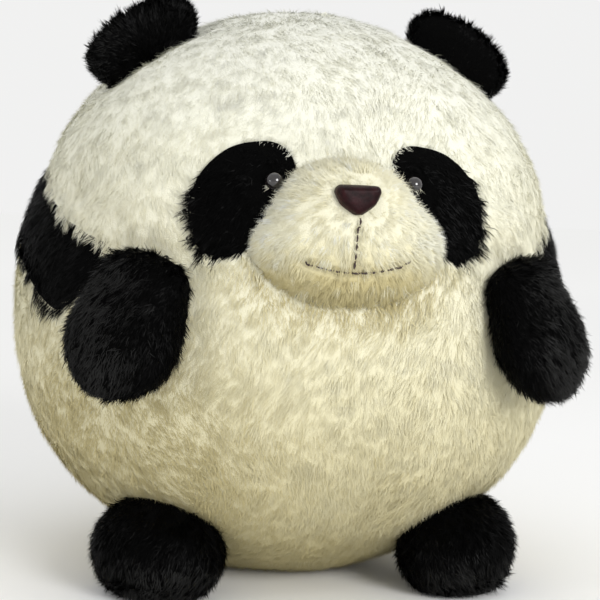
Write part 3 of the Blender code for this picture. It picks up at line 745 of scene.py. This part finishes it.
def make_limb(name, halves, spacing, lie, length, lift, look, painted_sheen, seed, weld=0.0011):
    """A stuffed black piece on the body of its own name: its panels as one padded skin, with its own pile."""
    rng = np.random.default_rng(seed)
    centre = middle_of(*halves)[0]
    skin = padded_skin(name + "_skin", name, [(n, BLACK_SKIN) for n in halves], centre, weld, 2, underfur)
    points, normals, _ = sample(skin, spacing, rng)
    ball = tree_of(*WHITE_PANELS, *BLACK_PANELS)
    keep = ~hidden_under(points, normals, ball, 0.0035) & (points[:, 2] > 0.0022)
    points, normals = points[keep], normals[keep]
    flow = lie(points, normals)
    flow = turned(flow, normals, 0.5 * smooth_noise(points, 0.022, 1) + rng.normal(0, 0.1, len(points)))
    uneven = 1 + 0.14 * smooth_noise(points, 0.016, 2) + 0.08 * rng.normal(0, 1, len(points))
    size = length(points, normals) * uneven
    rise = lift + 0.2 * smooth_noise(points, 0.018, 3) + 0.06 * rng.normal(0, 1, len(points))
    # Painted sheen: the tone rises where each piece's pile would catch the light.
    tone = 0.30 + 0.16 * smooth_noise(points, 0.012, 4) + painted_sheen(points, normals)
    tone += rng.normal(0, 0.10, len(points))
    grow(name + "_fur", name, "black_plush", BLACK_FUR, points, normals, flow, size, rise, tone, rng, look)


def even(depth):
    """A pile length that is the same all over a piece."""
    return lambda points, normals: np.full(len(points), depth)


def make_arms():
    """The arms: pile that runs from the shoulder to the paw, paler on the outer side as a painted sheen."""
    for side, sign in SIDES:
        halves = ("arm_outer_" + side, "arm_inner_" + side)
        root = np.array(JOINTS["arm_hinge_" + side]["pos_m"])
        along = unit(np.array(middle_of(*halves)[0]) - root)

        def lie(points, normals, along=along, sign=sign):
            sweep = np.array((0.35 * sign, 0.0, -0.15))
            return tangent(np.broadcast_to(along + sweep, points.shape) + 1e-4, normals)

        def painted_sheen(points, normals, sign=sign):
            outer = np.clip(normals[:, 0] * sign * 1.2 + 0.1, 0, 1)
            return 1.25 * outer * np.clip(0.7 + 0.5 * smooth_noise(points, 0.02, 0), 0, 1)

        make_limb(
            "arm_" + side, halves, LIMB_SPACING, lie, even(LIMB_PILE), LIMB_LIFT, LIMB_LOOK, painted_sheen,
            seed=21 + sign,
        )


def make_feet():
    """The feet: pile that runs down and outwards, paler at the toes as a painted sheen."""
    for side, sign in SIDES:
        halves = ("foot_upper_" + side, "foot_sole_" + side)
        centre, low, high = middle_of(*halves)
        top = Vector((centre.x * 0.72, centre.y * 0.72, high.z + 0.02))

        def lie(points, normals, top=top):
            return away_from(top, points, normals)

        def painted_sheen(points, normals, low=low, high=high):
            share = (points[:, 2] - low.z) / (high.z - low.z)
            toe = np.clip(1.3 - 1.9 * share, 0, 1) * np.clip(-normals[:, 1], 0, 1)
            return 1.60 * toe * np.clip(0.6 + 0.7 * smooth_noise(points, 0.018, 0), 0, 1)

        make_limb(
            "foot_" + side, halves, LIMB_SPACING, lie, even(LIMB_PILE), LIMB_LIFT, LIMB_LOOK, painted_sheen,
            seed=31 + sign,
        )


def make_ears():
    """The ears: pile that fans out from the root, shorter on the front of the left one."""
    for side, sign in SIDES:
        halves = ("ear_front_" + side, "ear_back_" + side)
        root = np.array(JOINTS["ear_hinge_" + side]["pos_m"])
        centre = middle_of(*halves)[0]

        def lie(points, normals, root=root):
            return away_from(root - (0, 0, 0.006), points, normals)

        def length(points, normals, sign=sign):
            facing = np.clip(-normals[:, 1], 0, 1) if sign > 0 else 0
            return EAR_PILE - SHORT_EAR_PILE * facing * np.ones(len(points))

        # Painted highlight: a pale band down the middle of the left ear's front, and the right ear paler
        # towards its outer side.
        def painted_sheen(points, normals, sign=sign, centre=centre):
            if sign > 0:
                middle = np.exp(-(((points[:, 0] - centre.x) / 0.012) ** 2))
                return 0.2 * (np.clip(-normals[:, 1], 0, 1) * middle)
            return 0.45 * np.clip((abs(centre.x) - np.abs(points[:, 0])) / -0.02, 0, 1)

        make_limb(
            "ear_" + side, halves, 0.0030, lie, length, 0.36, EAR_LOOK, painted_sheen,
            seed=41 + sign, weld=0.0006,
        )


def make_tail():
    """The tail: pile that runs from its root to its tip, with no painted sheen."""
    root = np.array(JOINTS["tail_hinge"]["pos_m"])

    def lie(points, normals):
        return away_from(root, points, normals)

    def painted_sheen(points, normals):
        return 0

    make_limb(
        "tail", ("tail_top", "tail_under"), 0.0034, lie, even(TAIL_PILE), 0.36, LIMB_LOOK, painted_sheen, seed=51
    )


PATCH_SPACING = 0.0034
PATCH_UNDERFUR = 0.0030
PATCH_PILE = 0.0095
PATCH_EYE_PILE = 0.0050


def make_patches():
    """The black eye patches: pile that lies down and outwards from the bridge of the nose."""
    muzzle = tree_of(*MUZZLE_PANELS)
    for side, sign in SIDES:
        rng = np.random.default_rng(61 + sign)
        name = "eye_patch_" + side
        eye, eye_low, _ = middle_of("eye_" + side)
        front = Vector((eye.x, eye_low.y, eye.z))
        low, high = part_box(name)
        middle = np.array((low + high) / 2)
        reach = np.array((high - low) / 2)

        def from_middle(places, middle=middle, reach=reach):
            return np.linalg.norm((places - middle) / reach * (1, 0.3, 1), axis=1)

        def parted(places, eye=eye, from_middle=from_middle):
            """Shallow round the eye and at the rim of the patch."""
            apart = np.linalg.norm(places - np.array(eye), axis=1)
            at_rim = np.clip((1.05 - from_middle(places)) / 0.18, 0.15, 1)
            return PATCH_UNDERFUR * np.clip((apart - 0.005) / 0.010, 0.05, 1) * at_rim

        skin = padded_skin(name + "_skin", "torso", [(name, BLACK_SKIN)], BALL_CENTRE, 0.0003, 2, parted)
        points, normals, _ = sample(skin, PATCH_SPACING, rng)
        apart = np.linalg.norm(points - np.array(eye), axis=1)
        keep = ~hidden_under(points, normals, muzzle, UNDER_TRIM) & (apart > 0.0065)
        points, normals, apart = points[keep], normals[keep], apart[keep]
        out = np.array((0.55 * sign, 0.0, -1.0))
        flow = tangent(np.broadcast_to(out, points.shape) + 1e-4, normals)
        near = np.clip(1 - (apart - 0.006) / 0.010, 0, 1)[:, None]
        flow = unit(flow * (1 - near) + away_from(front, points, normals) * near)
        flow = turned(flow, normals, 0.45 * smooth_noise(points, 0.022, 1) + rng.normal(0, 0.1, len(points)))
        length = (PATCH_PILE - PATCH_EYE_PILE * near[:, 0]) * (1 + 0.12 * rng.normal(0, 1, len(points)))
        crest = np.clip((points[:, 2] - high.z + 0.016) / 0.012, 0, 1)
        length *= 1 - 0.4 * crest
        lift = (0.26 + 0.12 * smooth_noise(points, 0.018, 3)) * (1 - 0.6 * crest)
        lower = np.clip(1 - (points[:, 2] - middle[2]) / 0.02, 0, 1)
        hem = np.clip((from_middle(points) - 0.72) / 0.2, 0, 1) * lower
        length *= 1 + 0.25 * hem
        lift += 0.25 * hem
        tone = 0.24 + 0.20 * smooth_noise(points, 0.014, 4) + rng.normal(0, 0.10, len(points))
        grow(
            name + "_fur", "torso", "black_plush", BLACK_FUR,
            points, normals, flow, length, lift, tone, rng, LIMB_LOOK,
        )


MUZZLE_SPACING = 0.0032
MUZZLE_UNDERFUR = 0.0034
MUZZLE_PILE = 0.0100


def make_muzzle():
    """A padded dome whose pile parts round the nose and along the stitched mouth."""
    rng = np.random.default_rng(71)
    centre = middle_of(*MUZZLE_PANELS)[0]
    hub = Vector((0, centre.y + 0.02, centre.z))
    nose, nose_low, _ = middle_of("nose_cover")
    smile_low, smile_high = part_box("smile_stitch")

    def from_mouth(places):
        """Distance from the stitched lines, seen from the front."""
        upright = (places[:, 2] < nose_low.z + 0.002) & (places[:, 2] > smile_low.z)
        line = np.where(upright, np.abs(places[:, 0]), 1)
        across = np.clip(np.abs(places[:, 0]) / smile_high.x, 0, 1.3)
        curve = smile_low.z + (smile_high.z - smile_low.z) * across**2
        beyond = np.maximum(np.abs(places[:, 0]) - smile_high.x, 0)
        return np.minimum(line, np.hypot(places[:, 2] - curve, beyond))

    def from_nose(places):
        """Distance from the nose, seen from the front."""
        aside = np.maximum(np.abs(places[:, 0]) - 0.010, 0)
        over = np.maximum(np.abs(places[:, 2] - nose.z) - 0.007, 0)
        return np.hypot(aside, over)

    def flank_of(places):
        return np.clip((-places[:, 0] - 0.030) / 0.020, 0, 1)

    def parted(places):
        """Shallow along the mouth, round the nose and on the right flank."""
        mouth = np.clip((from_mouth(places) + 0.0015) / 0.005, 0.45, 1)
        round_nose = np.clip((from_nose(places) + 0.001) / 0.006, 0.15, 1)
        return MUZZLE_UNDERFUR * mouth * round_nose * (1 - 0.75 * flank_of(places))

    panels = [(n, MUZZLE_SKIN) for n in MUZZLE_PANELS]
    skin = padded_skin("muzzle_skin", "torso", panels, hub, 0.0012, 3, parted)
    points, normals, _ = sample(skin, MUZZLE_SPACING, rng)
    ball = tree_of(*WHITE_PANELS)
    keep = ~hidden_under(points, normals, ball, 0.004)
    under_nose = (np.abs(points[:, 0]) < 0.0085) & (np.abs(points[:, 2] - nose.z) < 0.0055)
    keep &= ~under_nose
    points, normals = points[keep], normals[keep]
    flow = away_from(nose, points, normals)
    sag = tangent(np.broadcast_to((0.0, 0.0, -1.0), points.shape) + 1e-4, normals)
    low_part = np.clip((nose.z - points[:, 2]) / 0.03, 0, 1)[:, None]
    flow = unit(flow + 0.5 * low_part * sag)
    flow = turned(flow, normals, 0.5 * smooth_noise(points, 0.020, 1) + rng.normal(0, 0.12, len(points)))
    at_mouth = np.clip(1 - from_mouth(points) / 0.005, 0, 1)
    at_nose = np.clip(1 - from_nose(points) / 0.005, 0, 1)
    short = np.clip((from_mouth(points) + 0.003) / 0.006, 0.5, 1)
    short *= np.clip((from_nose(points) + 0.006) / 0.012, 0.6, 1)
    length = MUZZLE_PILE * short * (1 - 0.15 * flank_of(points)) * (1 + 0.10 * rng.normal(0, 1, len(points)))
    lift = 0.28 + 0.12 * smooth_noise(points, 0.018, 3)
    # The tone is darker below the smile, a painted shade. The noise and the few paler strands are the pile's
    # own uneven tone.
    share = np.clip((points[:, 2] - smile_low.z + 0.006) / 0.026, 0, 1)
    share = share * share * (3 - 2 * share)
    tone = 0.06 + 0.40 * share + 0.12 * smooth_noise(points, 0.026, 4) + rng.normal(0, 0.05, len(points))
    tone += 0.30 * (rng.random(len(points)) < 0.12)
    gather = np.clip(0.50 + 0.3 * smooth_noise(points, 0.02, 2), 0.15, 0.85)
    rim = np.clip((np.abs(points[:, 0]) - 0.026) / 0.02, 0, 1) * np.clip(0.45 + share, 0, 1)
    chin = np.clip((smile_low.z - 0.004 - points[:, 2]) / 0.012, 0, 1)
    gather += 0.3 * rim + 0.3 * chin
    lift += 0.20 * rim + 0.35 * chin + 0.40 * at_mouth + 0.50 * at_nose
    length *= 1 + 0.25 * chin
    tone += 0.22 * rim * share
    grow(
        "muzzle_fur", "torso", "white_plush", WHITE_FUR,
        points, normals, flow, length, lift, tone, rng, MUZZLE_LOOK, gather,
    )


# ---------------------------------------------------------------- nose, stitches, eyes and trim
STITCH_LIFT = 0.0036
PLY_RADIUS = 0.00042
PLY_OFFSET = 0.00028
STITCH_ARCH = 0.0011
STITCH_POINTS = 11
SMILE_STITCHES = 12
UPRIGHT_STITCHES = 6
EYE_SINK = 0.0036
EYE_RADIUS = 0.0051
EYE_HEIGHT = 0.0046
EYE_RIM = ((0.0054, -0.0002), (0.0055, -0.0006), (0.0053, -0.0011), (0.0030, -0.0012), (0.0, -0.0012))


def make_nose():
    """A small stuffed pad in a satin weave, softly creased."""
    centre, _, high = middle_of("nose_cover")
    material, shader, nodes, links = principled(
        "nose_satin", (0.022, 0.0070, 0.0080), 0.36, Specular_IOR_Level=0.10
    )
    place = nodes.new("ShaderNodeTexCoord")
    weave = nodes.new("ShaderNodeTexWave")
    weave.bands_direction = "DIAGONAL"
    weave.inputs["Scale"].default_value = 900
    weave.inputs["Distortion"].default_value = 1.2
    creases = nodes.new("ShaderNodeTexNoise")
    creases.inputs["Scale"].default_value = 240
    creases.inputs["Detail"].default_value = 3
    tint = ramp(nodes, [(0.35, (0.008, 0.0015, 0.0019)), (0.7, (0.024, 0.0050, 0.0062))])
    fine = nodes.new("ShaderNodeBump")
    fine.inputs["Distance"].default_value = 0.00006
    fine.inputs["Strength"].default_value = 0.6
    soft = nodes.new("ShaderNodeBump")
    soft.inputs["Distance"].default_value = 0.0006
    soft.inputs["Strength"].default_value = 0.5
    links.new(place.outputs["Object"], weave.inputs["Vector"])
    links.new(place.outputs["Object"], creases.inputs["Vector"])
    links.new(weave.outputs["Fac"], fine.inputs["Height"])
    links.new(fine.outputs["Normal"], soft.inputs["Normal"])
    links.new(creases.outputs["Fac"], soft.inputs["Height"])
    links.new(creases.outputs["Fac"], tint.inputs["Fac"])
    links.new(tint.outputs["Color"], shader.inputs["Base Color"])
    links.new(soft.outputs["Normal"], shader.inputs["Normal"])
    hub = Vector((0, high.y, centre.z))
    skin = padded_skin("nose_satin_skin", "torso", [("nose_cover", material)], hub, 0.0002, 2)


def add_tube(bm, path, radii, sides=8):
    """A closed round tube along some points."""
    rings = []
    for i, (point, radius) in enumerate(zip(path, radii)):
        ahead = path[min(i + 1, len(path) - 1)] - path[max(i - 1, 0)]
        ahead = ahead / np.linalg.norm(ahead)
        across = np.cross(ahead, (0.13, 0.2, 0.97))
        across = across / np.linalg.norm(across)
        over = np.cross(across, ahead)
        ring = []
        for k in range(sides):
            angle = 2 * math.pi * k / sides
            ring.append(bm.verts.new(point + radius * (math.cos(angle) * across + math.sin(angle) * over)))
        rings.append(ring)
    for first, second in zip(rings, rings[1:]):
        for k in range(sides):
            after = (k + 1) % sides
            bm.faces.new((first[k], first[after], second[after], second[k]))
    bm.faces.new(rings[0])
    bm.faces.new(rings[-1])


def add_stitch(bm, path, normals, twist):
    """One stitch: two twisted plies that rise from the pile and dip back into it."""
    shares = np.linspace(0, 1, len(path))
    ahead = unit(np.gradient(path, axis=0))
    side = np.cross(ahead, normals)
    arch = np.sin(np.pi * shares) ** 0.5
    middle = path + normals * (STITCH_ARCH * (arch - 0.75))[:, None]
    for phase in (0, math.pi):
        turn = phase + twist * shares
        ply = middle + PLY_OFFSET * (np.cos(turn)[:, None] * side + np.sin(turn)[:, None] * normals)
        add_tube(bm, ply, PLY_RADIUS * np.maximum(arch, 0.35))


def make_mouth():
    """Dashes of twisted thread, a little uneven, along the smile and up to the nose."""
    rng = np.random.default_rng(81)
    material = fabric_material(
        "mouth_thread", (0.016, 0.008, 0.007), (0.055, 0.030, 0.026), 0.7, 2500, 0.0001
    )
    muzzle = tree_of(*MUZZLE_PANELS)

    def on_muzzle(x, z):
        """The place and normal of the muzzle behind (x, z), just beside its middle seam."""
        off_seam = 0.0012 if x >= 0 else -0.0012
        probe = x if abs(x) > 0.0012 else off_seam
        place, normal, _, _ = muzzle.ray_cast(Vector((probe, -0.5, z)), Vector((0, 1, 0)))
        return np.array((x, place.y, z)), np.array(normal)

    def sew(name, node, way, count):
        bm = bmesh.new()
        for i in range(count):
            start = (i + 0.05 + 0.04 * rng.random()) / count
            end = (i + 0.90 + 0.06 * rng.random()) / count
            shares = [start + (end - start) * k / (STITCH_POINTS - 1) for k in range(STITCH_POINTS)]
            spots = [on_muzzle(*way(share)) for share in shares]
            normals = np.array([normal for place, normal in spots])
            path = np.array([place for place, normal in spots]) + STITCH_LIFT * normals
            add_stitch(bm, path, normals, rng.uniform(5, 7))
        bmesh.ops.recalc_face_normals(bm, faces=bm.faces)
        mesh = bpy.data.meshes.new(name)
        bm.to_mesh(mesh)
        bm.free()
        mesh.materials.append(material)
        mesh.shade_smooth()
        add_piece(name, mesh, "torso", "thread", node)

    smile_low, smile_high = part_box("smile_stitch")
    half = smile_high.x

    def smile(share):
        x = 0.0018 + 1.03 * half * (2 * share - 1)
        curve = ((x + 0.001) / half) ** 2
        return x, smile_low.z + 0.0007 + (smile_high.z - smile_low.z - 0.0014) * curve - 0.012 * x

    line_low, line_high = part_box("mouth_stitch")

    def upright(share):
        return 0.0004 - 0.0020 * share, line_high.z + (line_low.z - line_high.z) * share

    sew("smile_stitches", "smile_stitch", smile, SMILE_STITCHES)
    sew("mouth_stitches", "mouth_stitch", upright, UPRIGHT_STITCHES)


def make_eyes():
    """Safety eyes: a glossy dome over a thin rim, seated in the pile."""
    material = fabric_material(
        "eye_plastic", (0.007, 0.006, 0.006), (0.016, 0.013, 0.013), 0.10, 400, 0.00002,
        Coat_Weight=0.7, Coat_Roughness=0.03,
    )
    quarter = np.linspace(0, math.pi / 2, 15)
    profile = [(EYE_RADIUS * math.sin(a), EYE_HEIGHT * math.cos(a)) for a in quarter]
    profile += EYE_RIM
    for side, _ in SIDES:
        places = corners_of("eye_" + side)
        away = np.linalg.norm(places - np.array(BALL_CENTRE), axis=1)
        top = Vector(places[np.argmax(away)])
        out = (top - BALL_CENTRE).normalized()
        turn = out.to_track_quat("Z", "Y").to_matrix()
        bm = bmesh.new()
        edges = []
        last = None
        for radius, level in profile:
            vertex = bm.verts.new((radius, 0, level))
            if last:
                edges.append(bm.edges.new((last, vertex)))
            last = vertex
        bmesh.ops.spin(
            bm, geom=edges + list(bm.verts), cent=(0, 0, 0), axis=(0, 0, 1), angle=2 * math.pi, steps=40
        )
        bmesh.ops.remove_doubles(bm, verts=bm.verts, dist=1e-5)
        bmesh.ops.recalc_face_normals(bm, faces=bm.faces)
        mesh = bpy.data.meshes.new("safety_eye_" + side)
        bm.to_mesh(mesh)
        bm.free()
        seat = turn.to_4x4()
        seat.translation = top - out * EYE_SINK
        mesh.transform(seat)
        mesh.materials.append(material)
        mesh.shade_smooth()
        add_piece("safety_eye_" + side, mesh, "torso", "eye_plastic", "eye_" + side)


def dress(name, material):
    """Gives a CAD node another material on its object, not on its mesh."""
    for slot in NODES[name].material_slots:
        slot.link = "OBJECT"
        slot.material = material


def finish_small_parts():
    """Finishes for the parts that keep their CAD shape: the blank label, and those under the pile."""
    label = fabric_material("label_ribbon", (0.80, 0.80, 0.78), (0.93, 0.93, 0.92), 0.55, 3200, 0.00008)
    thread = fabric_material("closing_thread", (0.62, 0.60, 0.54), (0.82, 0.80, 0.75), 0.7, 2600, 0.0001)
    washer = fabric_material("washer_plastic", (0.74, 0.74, 0.72), (0.82, 0.82, 0.80), 0.4, 500, 0.00004)
    dress("care_label", label)
    dress("closing_thread", thread)
    dress("base_panel", WHITE_SKIN)
    for name in NODES:
        if name.startswith("eye_washer"):
            dress(name, washer)
        elif name.endswith("_fill") or "_fill_" in name:
            dress(name, STUFFING)


make_camera()
make_studio()
make_ball()
make_arms()
make_feet()
make_ears()
make_tail()
make_patches()
make_muzzle()
make_nose()
make_mouth()
make_eyes()
finish_small_parts()

bpy.context.scene.view_settings.view_transform = "Standard"
